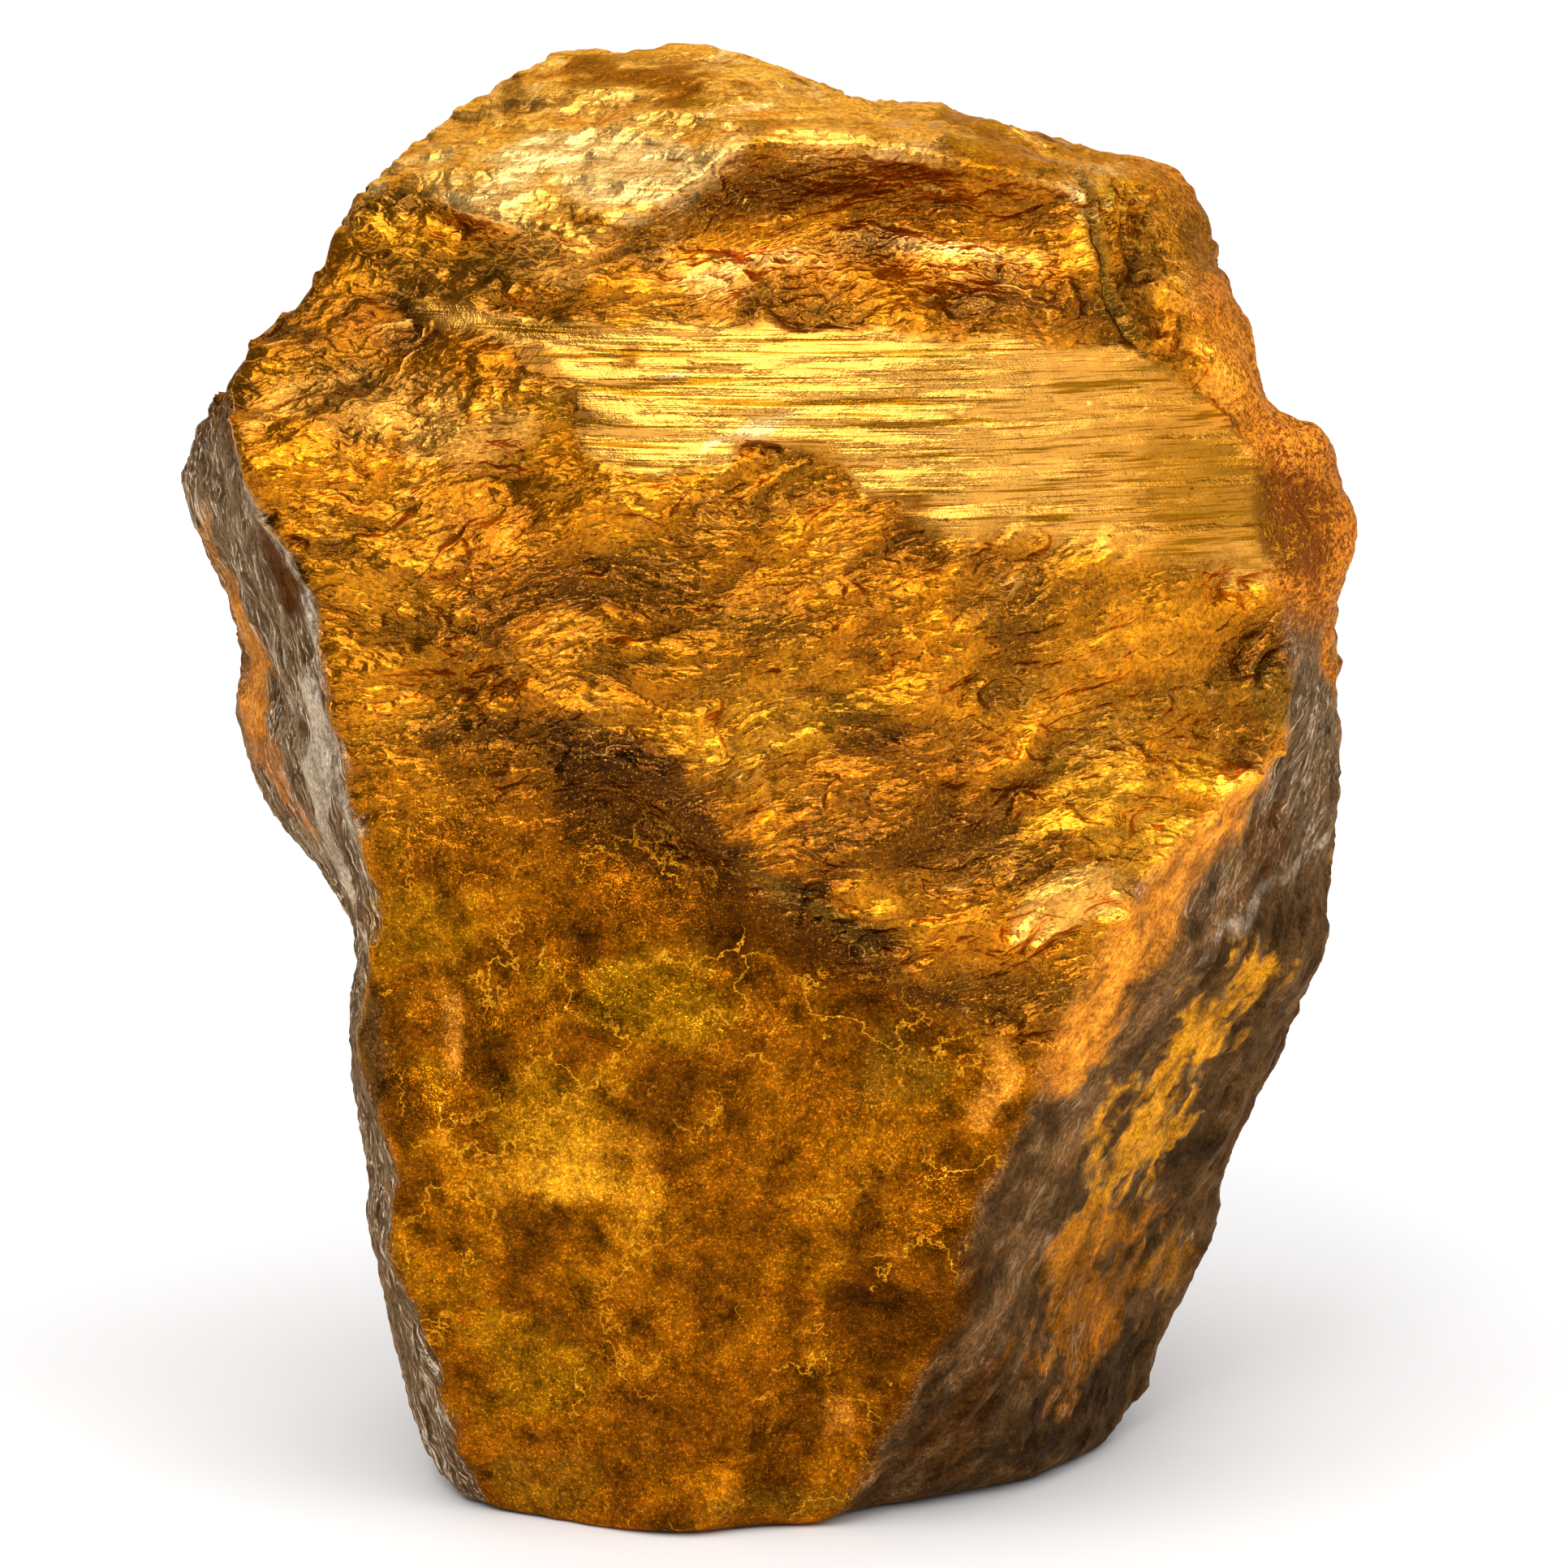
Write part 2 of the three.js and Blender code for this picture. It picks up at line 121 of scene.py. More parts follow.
# Patches of colour, painted highlights and painted shade among them: (colour, x, height, half width, half
# height, tilt in degrees, strength).
FACE_PATCHES = [
    # top and bright facet; the straw and cream over the bright facet at the left are painted highlight
    (STRAW, -4.6, 59.5, 6.4, 0.9, 0, 0.7), (CREAM, 4.5, 57.8, 4, 0.7, -6, 0.5),
    (STRAW, -6.6, 56.6, 8, 2.2, 4, 0.8), (CREAM, -6.4, 55.8, 5.6, 1.2, 8, 0.7),
    (STRAW, -2, 57.2, 9, 0.8, -2, 0.7), (BROWN, -5.2, 58.6, 2.8, 0.4, -4, 0.95),
    (UMBER, -9.8, 58.1, 1.8, 0.3, -8, 0.6), (STRAW, 4.6, 57.3, 4.6, 0.8, -4, 0.9),
    (OLIVE, 9, 56.6, 2.4, 0.5, -8, 0.7), (AMBER, 10.5, 56, 3, 0.7, -10, 0.6),
    # hollow: the brown and umber under the lip and in the hollow are painted shade; the straw and gold to
    # its left are painted light over shaded folds
    (BROWN, 4.6, 55, 7.5, 1.6, -4, 0.45), (UMBER, 3.6, 55.7, 5.6, 0.5, -3, 0.15),
    (BROWN, 4.6, 52.8, 4.6, 1.4, -10, 0.4), (BROWN, 1, 51.8, 5, 1.1, 5, 0.35),
    (STRAW, -9.8, 52, 5, 1.2, 8, 0.5), (GOLD, -12.8, 52.6, 3, 1.5, -30, 0.7),
    (GOLD, -16, 51.6, 1.4, 1.4, 0, 0.7), (BROWN, -4.4, 53.4, 4, 0.8, 15, 0.4),
    (BROWN, 10.4, 50.6, 3.5, 1.2, -8, 0.6),
    # raised chip: the umber and brown along its top edge and the umber corner near x -8.7 are painted shade
    # on its downward-facing steps; the two cream streaks are painted glints
    (UMBER, -14.8, 49.2, 3.4, 0.95, -7, 0.95), (BROWN, -16.8, 49, 2.4, 0.7, 10, 0.6),
    (UMBER, -8.7, 46.9, 1.6, 0.9, -40, 0.75), (OLIVE, -9.2, 45.4, 1.4, 0.9, 60, 0.6),
    (STRAW, -16, 46.2, 4.4, 1.4, -4, 0.45), (STRAW, -11.8, 45, 2.4, 0.8, 8, 0.5),
    (UMBER, -5.2, 48.6, 0.35, 0.5, 0, 0.95), (CREAM, -3.4, 47.6, 1, 0.22, 15, 0.8),
    (CREAM, -0.2, 45.8, 2, 0.24, 22, 0.8), (AMBER, -17.6, 44.2, 3, 1.2, 0, 0.6),
    # below the band: the brown and umber at the notch near x 5 to 6 are painted shade on its small step; the
    # gold at x -16 and -14.6, and the gold, honey and straw between heights 27 and 35, are painted highlight
    # of glinting folds
    (BROWN, -12.4, 41.2, 4.8, 1.7, 3, 0.6), (GOLD, 1.3, 44.1, 3, 1, 0, 0.6),
    (BROWN, 4.9, 42.2, 1.2, 1.2, -15, 0.5), (UMBER, 6, 42, 0.35, 0.7, 0, 0.8),
    (GOLD, -16, 40.6, 3.4, 1.6, 12, 0.5), (BROWN, -9.4, 39.4, 3.2, 2.8, 0, 0.6),
    (BROWN, 5.2, 40.2, 2.4, 2.6, 0, 0.5), (GOLD, 13, 38.6, 5.2, 2, 6, 0.5),
    (STRAW, 19.3, 40.8, 1.6, 1.8, 0, 0.5), (OLIVE, 18.2, 42.8, 3.4, 1.5, -25, 0.6),
    (BROWN, -9.6, 36.6, 2.6, 1.6, 0, 0.5), (GOLD, -1.4, 34.7, 3.8, 1.5, 18, 0.85),
    (HONEY, 1, 34.1, 4.2, 1.2, 8, 0.6), (GOLD, -14.6, 36.6, 2.2, 3, 0, 0.5),
    (BROWN, 5.6, 33.8, 2.8, 1.2, 5, 0.6), (HONEY, 14.6, 30.6, 4.2, 2.2, -8, 0.75),
    (STRAW, 12.6, 27.2, 2.2, 1.1, 35, 0.8), (GOLD, 15.4, 34.6, 4.2, 1.3, 4, 0.6),
    (BROWN, 4.8, 30.4, 4.2, 2.6, -10, 0.65), (GOLD, 4.6, 27.2, 3, 1.3, -35, 0.4),
    (MOSS, 20.4, 34.6, 0.9, 2.2, 0, 0.8),
    # dark band down the ledge
    (BROWN, -3.4, 28.6, 7.6, 4.4, -32, 0.8), (UMBER, -10.4, 33.2, 2.6, 1.2, 0, 0.45),
    (UMBER, -5.8, 32.6, 3.2, 1.3, -5, 0.6), (UMBER, -5, 30.4, 3.8, 2.4, -15, 0.9),
    (UMBER, -1.8, 28.2, 3.8, 2.2, -30, 0.95), (UMBER, 1.4, 25.8, 4.2, 1.9, -32, 0.95),
    (UMBER, 5, 24.2, 3.8, 1.5, -28, 0.9), (MOSS, 2.4, 26.6, 3, 0.5, -33, 0.6),
    (AMBER, 9.6, 23.2, 3, 1, -25, 0.6),
    # smooth lower face
    (OLIVE, -4.4, 23.2, 3.2, 2, 0, 0.85), (OLIVE, -13.6, 25.6, 2.2, 1.8, 0, 0.6),
    (GOLD, -7.6, 16.2, 3, 3, 10, 0.9), (HONEY, -7.4, 15.4, 1.8, 1.6, 20, 0.7),
    (OLIVE, -8.4, 18.6, 2.6, 1.6, 0, 0.6), (OLIVE, -9.6, 7.6, 2.6, 2, 0, 0.7),
    (UMBER, -15.2, 21, 1.2, 1.2, 0, 0.8), (UMBER, -14.4, 17.6, 1.1, 1.5, 0, 0.8),
    (UMBER, 6, 9.6, 2.6, 3, -15, 1), (UMBER, -2.6, 5.2, 4.6, 1.7, 0, 0.8),
    (UMBER, -9.8, 12, 1.8, 0.9, 20, 0.5), (UMBER, 3.6, 22.2, 2.2, 1, 0, 0.55),
    (UMBER, -7.6, 9.4, 1.8, 1.1, 0, 0.5), (ORANGE, 9.2, 19.6, 0.8, 1.7, -10, 0.6),
    (AMBER, 2, 14.4, 2.4, 1.2, 0, 0.7), (ORANGE, -12.4, 21.2, 0.4, 1.7, 5, 0.6),
    (BROWN, 1, 20.2, 3.4, 2.6, 0, 0.7), (BROWN, 6.5, 14.8, 2.2, 2.8, 0, 0.7),
    (BROWN, -1.2, 7.4, 3.6, 3, 0, 0.6), (BROWN, 0.4, 14.6, 3.4, 2.4, 0, 0.4),
    (MOSS, -8.6, 1.8, 2.4, 1.6, 0, 0.5), (MOSS, 5.4, 20.6, 1.8, 1.4, 20, 0.5),
    (ORANGE, 2.9, 5, 0.8, 0.7, 0, 0.4), (AMBER, -12.6, 13, 1.6, 2, 0, 0.5),
    (MOSS, 1, 1.6, 3.6, 0.6, 0, 0.6),
    # right flank
    (DRAB, 20.6, 27.6, 3, 1.2, 55, 0.8), (DRAB, 17.2, 22.8, 3, 1.1, 52, 0.8),
    # the soot patch low by the foot at x 14 is painted shade under the flank
    (DRAB, 13, 17, 3.6, 1.2, 58, 0.8), (SOOT, 14, 3.6, 4.4, 3.2, 40, 0.95),
    (SOOT, 17.8, 13, 4, 1.3, 68, 0.6), (HONEY, 18.3, 20.2, 3, 1.5, 40, 0.75),
    (HONEY, 15.6, 15.4, 5, 1.5, 62, 0.75), (AMBER, 13.3, 9.4, 3.4, 1.8, 64, 0.8),
    (GOLD, 17.4, 8.2, 1.6, 0.7, 70, 0.6), (AMBER, 14, 6.4, 3, 0.9, 52, 0.5),
    (DRAB, 9.6, 9.8, 4.2, 0.8, 58, 0.8), (UMBER, 8, 4.4, 2.6, 1, 58, 0.6),
    (UMBER, 21.4, 28, 0.7, 1.8, 0, 0.7), (ASH, 21, 25.4, 3.2, 0.2, 30, 0.25),
    # left flank
    (ORANGE, -21.9, 33.4, 1.5, 2.4, 0, 0.7), (RUST, -20.2, 29.8, 0.7, 2.6, 25, 0.5),
    (ORANGE, -22.9, 38.2, 0.5, 2.6, 18, 0.4), (UMBER, -22.6, 45.4, 1.2, 2, 10, 0.6),
    (SLATE, -16.2, 18.6, 0.8, 3, 0, 0.8), (ASH, -17.7, 30.8, 0.9, 3.6, 12, 0.5),
    # the umber patch here is painted shade in a recess of the flank
    (UMBER, -19, 40.3, 0.9, 2.8, 18, 1),
    # right shoulder
    (OXBLOOD, 21.8, 41, 1.6, 2.4, 0, 0.85), (ORANGE, 19.2, 47.4, 1.5, 1.8, -30, 0.8),
    (GOLD, 16.6, 52.8, 2.6, 2.4, 0, 0.8), (MOSS, 20.5, 41.6, 0.5, 3, 8, 0.4),
    (MOSS, 18.2, 51.6, 1, 1.6, 0, 0.6), (ORANGE, 22.6, 44, 1.2, 1, 0, 0.5),
]

# Orange along the right ridge, partly its own colour and partly painted highlight where the ridge catches
# the light, as (x, height, half length, half width, tilt in degrees).
RIDGE_ORANGE_AND_HIGHLIGHT = [
    (19.4, 30.8, 2.6, 1, 50), (17.2, 28, 3, 1.3, 46), (14.9, 24.9, 3, 1.4, 54),
    (13, 21.6, 2.8, 1.2, 66),
]


def smooth(low, high, value):
    t = np.clip((value - low) / (high - low), 0, 1)
    return t * t * (3 - 2 * t)


def line(points, at):
    along, across = zip(*points)
    return np.interp(at, along, across)


# ---------------------------------------------------------------- the broken surface


def evaluated(piece, name):
    """The mesh that a piece's modifiers make."""
    depsgraph = bpy.context.evaluated_depsgraph_get()
    mesh = bpy.data.meshes.new_from_object(piece.evaluated_get(depsgraph))
    mesh.name = name
    return mesh


def fine_stone(node):
    """A copy of the solid with its cells split in four, time after time, and its corners eased."""
    mesh = node.data.copy()
    bm = bmesh.new()
    bm.from_mesh(mesh)
    bmesh.ops.remove_doubles(bm, verts=bm.verts, dist=MERGE * MM)
    any_angle = dict(angle_face_threshold=math.pi, angle_shape_threshold=math.pi)
    bmesh.ops.join_triangles(bm, faces=bm.faces, **any_angle)
    bm.to_mesh(mesh)
    bm.free()
    mesh.materials.clear()
    piece = bpy.data.objects.new("nellite_surface", mesh)
    bpy.context.scene.collection.objects.link(piece)
    split = piece.modifiers.new("split", "SUBSURF")
    split.levels = split.render_levels = SPLITS
    piece.data = evaluated(piece, "fine_stone")
    piece.modifiers.clear()
    return piece


def thinned(piece):
    """Spends the triangles where the carved surface bends most."""
    ease = piece.modifiers.new("ease", "DECIMATE")
    ease.ratio = TRIANGLES / (2 * len(piece.data.polygons))
    piece.data = evaluated(piece, "nellite_surface")
    piece.modifiers.clear()


def soft(points, size, seed, octaves=3):
    """Rolling noise about zero, with its grain along each axis in millimetres."""
    at = points / np.array(size) + seed
    return np.array([noise.fractal(v, 0.8, 2.1, octaves) for v in at])


def crest(points, size, seed, octaves=4):
    """Noise with sharp crests and round troughs, about zero."""
    at = points / np.array(size) + seed
    return np.array([noise.ridged_multi_fractal(v, 0.9, 2.1, octaves, 1, 1.8) for v in at]) - CREST_LEVEL


def flakes(points, size, seed, sharpness=9):
    """Flat flakes of a size along each axis, each with its own tilt, that meet in low edges."""
    at = points / np.array(size) + seed
    found = [noise.voronoi(v) for v in at]
    away = np.array([distances for distances, _ in found])
    seats = np.array([seats for _, seats in found])
    share = np.exp(-sharpness * (away - away[:, :1]))
    tilt = np.sin(np.round(seats * 64) @ SCRAMBLE) * SCRAMBLE_REACH
    tilt = tilt - np.floor(tilt) - 0.5
    rise = ((at[:, None] - seats) * tilt).sum(2)
    return (share * rise).sum(1) / share.sum(1)


def bent(points, reach, size, seed):
    """Points pushed about by noise, which frays the edge of whatever reads them."""
    return points + reach * np.array([noise.noise_vector(v) for v in points / size + seed])


def read(piece):
    mesh = piece.data
    points = np.empty(len(mesh.vertices) * 3)
    normals = np.empty(len(mesh.vertices) * 3)
    mesh.vertices.foreach_get("co", points)
    mesh.vertices.foreach_get("normal", normals)
    return points.reshape(-1, 3) / MM, normals.reshape(-1, 3)


def regions(points, normals):
    """How much of each kind of surface every point has, from 0 to 1."""
    x, y, z = bent(points, 0.5, 1.8, 7.5).T
    drift = 9 * soft(points, (8, 8, 8), 15.2, 5)
    behind = smooth(-9, -2, points[:, 1]) * drift
    ahead = smooth(1.5, -2.5, points[:, 1] + 0.4 * drift)
    left = 1 - smooth(-0.1, 0.2, x - line(LEFT_RIDGE, z + behind))
    fade = np.interp(z, [38, 44, 56], [0.4, 1.6, 2.6])
    right = smooth(-1, 1, (x - line(RIGHT_RIDGE, z)) / fade)
    face = ahead * (1 - left) * (1 - right)
    lip = smooth(-0.15, 0.25, z - line(LIP, x)) * smooth(-19, -17, x)
    top = smooth(51, 54, z + 0.3 * drift) * smooth(0.2, 0.6, normals[:, 2]) * (1 - right)
    crown = np.maximum(lip * face, top)
    face = face * (1 - lip)
    across = points[:, 0] + 0.4 * (x - points[:, 0])
    below_top = smooth(0.1, -0.3, z - line(BAND_TOP, across))
    ending = np.interp(x, [4, 14], [0.25, 1.8])
    band = face * below_top * smooth(-0.1, ending, z - line(BAND_FOOT, across)) * smooth(-17.5, -15.5, x)
    low = face * smooth(-1, np.interp(x, [-8, 0], [6.5, 2]), line(LEDGE, x) - z)
    shoulder = smooth(35, 39, z + 0.6 * (points[:, 0] - 22) + behind)
    rust = right * shoulder * smooth(5, 1, y + drift)
    skin = np.maximum(left, right * (1 - shoulder)) * smooth(8, 5, y + drift)
    back = np.clip(1 - face - crown - rust - skin, 0, 1)
    silky = back * smooth(0.05, 0.25, soft(points, (11, 11, 8), 31.4, 4))
    wave = face * (1 - band) * (1 - low) + silky
    return dict(band=band, low=low, wave=wave, crown=crown, rust=rust, skin=skin, back=back - silky)


def streak_lines(points):
    """Points sheared so that the streaks of either flank run along Z."""
    x, y, z = points.T
    right = smooth(-4, 4, x)
    lean_x = -0.3 * (1 - right) + 0.5 * right
    lean_y = 0.12 * (1 - right) + 0.2 * right
    return np.column_stack([x - lean_x * (z - 30), y - lean_y * (z - 30), z])


def flow_lines(points):
    """Points sheared and bent so that the silky waves, which rise to the right, run along X."""
    sheared = points.copy()
    sheared[:, 2] -= 0.12 * points[:, 0]
    return bent(sheared, 0.8, 7, 3.1)


def shingles(points, pitch, wander, seed):
    """Flakes one above the other: each swells upward to a crisp lip and falls back above it."""
    phase = points[:, 2] / pitch + wander * soft(points, (5, 5, 4), seed, 3)
    climb = phase - np.floor(phase)
    return np.where(climb < LIP_AT, (climb / LIP_AT) ** 1.5, smooth(1, LIP_AT, climb)) - 0.4


def foil(points):
    """Crumpled silky folds: sharp crests over round troughs, calm in places."""
    flow = flow_lines(points)
    lively = 0.5 + 0.8 * smooth(-0.3, 0.4, soft(points, (6, 6, 5), 12.1, 2))
    fading = smooth(-0.35, 0.4, soft(points, (3, 3, 2), 21.7, 2))
    broad = 0.24 * crest(flow, (6, 6, 3), 2.2, 2) + 0.7 * flakes(flow, (5, 5, 2.4), 6.1)
    lips = 0.42 * shingles(flow, 2.9, 1.5, 1.6) + 0.18 * shingles(flow, 1.2, 1.3, 8.1)
    folds = 0.08 * crest(flow, (3.2, 3.2, 1.3), 1.1, 3) + 0.24 * flakes(flow, (2.2, 2.2, 0.9), 4.3)
    inward = np.minimum(smooth(-25, -18, points[:, 0]), smooth(22, 18, points[:, 0])) + 0.4
    return (broad + lively * (fading * lips + folds)) * np.minimum(inward, 1)


def mottled(points):
    """The calmer lower face: shallow chips with low crisp rims."""
    chips = 0.12 * crest(points, (3.4, 3.4, 2.6), 5.5, 4) + 0.35 * flakes(points, (2.4, 2.4, 1.9), 3.9)
    return 0.16 * soft(points, (2.4, 2.4, 2.4), 1.4) + chips


def layered(points):
    """Sheets of straight fibres that end in low steps."""
    steps = smooth(-0.12, 0.12, soft(points, (10, 6, 0.8), 6.3))
    steps += smooth(-0.1, 0.1, soft(points, (7, 6, 0.5), 3.3))
    return 0.1 * steps + 0.035 * soft(points, (6, 3, 0.3), 8.8)


def ledged(points):
    """Crinkled crust with thin ledges across it."""
    lips = 0.2 * shingles(points, 1.5, 2, 3.4) * smooth(-0.2, 0.3, soft(points, (5, 4, 2), 9.9, 2))
    broad = 0.2 * crest(points, (5, 2.4, 1), 4.7, 3)
    return 0.3 + lips + broad + 0.12 * crest(points, (1.4, 1.4, 0.7), 2.7, 3)


def streaked(points):
    strands = 0.2 * crest(streak_lines(points), (1.2, 1.2, 6), 9.1, 3)
    return strands + 0.3 * flakes(points, (2.4, 2.4, 3), 6.9) + 0.14 * soft(points, (1, 1, 1), 5.8, 3)


def sandy(points):
    """Weathered crust of small lumps."""
    lumps = 0.5 * flakes(points, (2.2, 2.2, 1.8), 2.6, 4)
    lumps += 0.12 * crest(points, (2.4, 2.4, 1.8), 1.9, 2)
    return lumps + 0.16 * soft(points, (1.2, 1.2, 1.2), 3.6, 2)


def shelled(points):
    return 0.4 * crest(points, (5, 5, 3.2), 7.7, 4) + 0.12 * soft(points, (1, 1, 1), 5.9, 3)


RELIEFS = {
    "wave": foil, "low": mottled, "band": layered, "crown": ledged,
    "skin": streaked, "rust": sandy, "back": shelled,
}


def carve(piece, points, normals, kinds):
    """Moves the surface by the relief of each kind, and keeps the foot flat."""
    relief = np.zeros(len(points))
    for kind, form in RELIEFS.items():
        here = kinds[kind] > 0.01
        relief[here] += kinds[kind][here] * form(points[here])
    relief = (relief - CLEFT_DEPTH * cleft(points, 0.2)) * smooth(0, 1.2, points[:, 2])
    moved = points + normals * relief[:, None]
    moved[:, 2] = np.maximum(moved[:, 2], 0)
    piece.data.vertices.foreach_set("co", (moved * MM).ravel())
    piece.data.update()
    return relief


def cleft(points, width):
    """How deep in the thin crack by the shoulder every point is."""
    x, y, z = points.T
    ends = smooth(48.6, 49.4, z) * smooth(55.4, 54.6, z) * (y < -3)
    return ends * np.exp(-((x - line(CRACK, z)) / width) ** 2)


# ---------------------------------------------------------------- colour


def blend(colours, colour, share):
    return colours + (np.array(colour) - colours) * np.clip(share, 0, 1)[:, None]


def oval(x, z, half_x, half_z, tilt):
    """How far out a place is in a tilted oval, where 1 is its rim."""
    turn = math.radians(tilt)
    along = x * math.cos(turn) + z * math.sin(turn)
    across = z * math.cos(turn) - x * math.sin(turn)
    return np.hypot(along / half_x, across / half_z)


def ground(points, frayed, ragged, kinds):
    """The colour of each kind of surface, uneven but without patches."""
    x, _, z = frayed.T
    low, crown, back, skin = kinds["low"], kinds["crown"], kinds["back"], kinds["skin"]
    cloud = soft(points, (5, 5, 4), 2.9)
    stain = soft(points, (2.8, 2.8, 2.2), 5.2, 6)
    grainy = soft(points, (4.5, 3.5, 0.8), 6.6, 5)
    shares = [
        (GOLD, kinds["wave"] * smooth(-0.1, 0.6, soft(points, (4, 4, 2), 8.3)) * 0.8),
        (BROWN, low * smooth(-0.7, -0.1, cloud)),
        (UMBER, low * smooth(-0.05, 0.4, ragged) * 0.85),
        (OLIVE, low * smooth(0.1, 0.5, -ragged) * 0.6),
        (AMBER, low * smooth(0.1, 0.5, stain) * 0.5),
        (GOLD, crown * 0.9),
        (STRAW, crown * smooth(-0.6, -0.2, grainy)),
        (CREAM, crown * smooth(0, 0.4, grainy) * 0.7),
        (UMBER, crown * smooth(0.35, 0.6, -grainy) * 0.8),
        (STRAW, kinds["band"]),
        (GOLD, kinds["band"] * smooth(9, 18, x) * 0.6),
        (RUST, kinds["rust"]),
        (BROWN, back * smooth(-0.1, 0.5, cloud)),
        (SKIN, back * smooth(0.05, 0.4, soft(points, (8, 8, 6), 4.4)) * 0.8),
        (SKIN, skin * (x < 0)),
        (SLATE, skin * (x >= 0)),
        (SKIN, skin * (x >= 0) * smooth(24, 29, z)),
    ]
    colours = np.tile(np.array(AMBER), (len(points), 1))
    for colour, share in shares:
        colours = blend(colours, colour, share)
    return colours


def patched(colours, points, frayed, ragged, flank, seen):
    """The colours with the patches of the front over them, painted highlights and shade among them, ragged
    at their rims.
    """
    x, _, z = frayed.T
    fray = 0.7 * ragged + flank * 0.9 * soft(streak_lines(points), (0.9, 0.9, 1.8), 11.3, 5)
    for colour, at_x, at_z, half_x, half_z, tilt, strength in FACE_PATCHES:
        away = oval(x - at_x, z - at_z, half_x, half_z, tilt)
        colours = blend(colours, colour, smooth(1.2, 0.85, away + fray) * strength * seen)
    # the orange ridge, partly painted highlight
    for at_x, at_z, half_x, half_z, tilt in RIDGE_ORANGE_AND_HIGHLIGHT:
        away = oval(points[:, 0] - at_x, points[:, 2] - at_z, half_x, half_z, tilt)
        colours = blend(colours, ORANGE, smooth(1.4, 0.5, away + 0.4 * ragged) * seen)
    return colours


def shaded(colours, points, kinds, relief, flank):
    """The colours with painted highlight on crests and painted shade in hollows, and uneven along the folds
    and streaks.
    """
    silky = kinds["wave"] + 0.6 * kinds["crown"]
    cloudy = soft(flow_lines(points), (4.5, 4.5, 2.2), 17.3, 3)
    worn = soft(streak_lines(points), (0.8, 0.8, 1.4), 13.7, 4)
    # painted highlight on the crests of the relief and painted shade in its hollows
    colours = colours * (1 + silky * np.clip(relief - 0.1, -0.5, 0.35))[:, None]
    colours *= (1 + 1.1 * kinds["wave"] * np.clip(cloudy, -0.5, 0.4))[:, None]
    colours *= (1 + 0.9 * flank * np.clip(worn, -0.6, 0.4))[:, None]
    return colours


def edged(colours, points, z, ragged, seen):
    """The colours with the pale line along the left ridge and the painted shade of the crack over them."""
    ridge = points[:, 0] - line(LEFT_RIDGE, points[:, 2])
    pale = np.exp(-((ridge + 0.1) / 0.16) ** 2) * smooth(27, 30, z) * smooth(46, 40, z) * seen
    colours = blend(colours, ASH, pale * smooth(-0.4, 0.2, ragged) * 0.6)
    # painted shade in the crack
    return blend(colours, MOSS, cleft(points, 0.3) * seen)


def tint(points, kinds, relief):
    """The rock's colour at every point, painted highlights and shade included, before its grain."""
    frayed = bent(points, 1.1, 3.4, 1.7)
    ragged = soft(points, (2.6, 2.6, 2.6), 9.2, 6)
    seen = smooth(2.5, -0.5, frayed[:, 1])
    flank = kinds["skin"] * smooth(0, 4, frayed[:, 0])
    colours = ground(points, frayed, ragged, kinds)
    colours = patched(colours, points, frayed, ragged, flank, seen)
    colours = shaded(colours, points, kinds, relief, flank)
    return edged(colours, points, frayed[:, 2], ragged, seen)


def store(piece, name, kind, values):
    key = "vector" if kind == "FLOAT_VECTOR" else "color"
    piece.data.attributes.new(name, kind, "POINT").data.foreach_set(key, values.astype(np.float32).ravel())


def patches(points):
    """How much the lips, raised and painted with highlight, the veins and the strands show at every point.
    """
    lively = smooth(-0.15, 0.25, soft(flow_lines(points), (2.5, 2.5, 2.5), 18.2, 3))
    veined = 0.8 * smooth(-0.1, 0.25, soft(points, (4, 4, 4), 19.6, 3))
    broken = 0.5 + 0.5 * smooth(-0.3, 0, soft(points, (6, 6, 6), 20.3, 4))
    return np.column_stack([lively, veined, broken])


def paint(piece, points, kinds, relief):
    """Stores what the material reads: colours, kinds of surface and stretched places."""
    ones = np.ones(len(points))
    store(piece, "tint", "FLOAT_COLOR", np.column_stack([tint(points, kinds, relief), ones]))
    silk = np.column_stack([kinds["band"], kinds["wave"], kinds["crown"], ones])
    crust = np.column_stack([kinds["skin"], kinds["rust"], np.maximum(kinds["low"], kinds["back"]), ones])
    store(piece, "silk", "FLOAT_COLOR", silk)
    store(piece, "crust", "FLOAT_COLOR", crust)
    store(piece, "flow", "FLOAT_VECTOR", flow_lines(points))
    store(piece, "frayed", "FLOAT_VECTOR", bent(flow_lines(points), 0.35, 1.2, 5.7))
    store(piece, "streak", "FLOAT_VECTOR", bent(streak_lines(points), 0.2, 1.1, 2.3))
    store(piece, "patches", "FLOAT_VECTOR", patches(points))


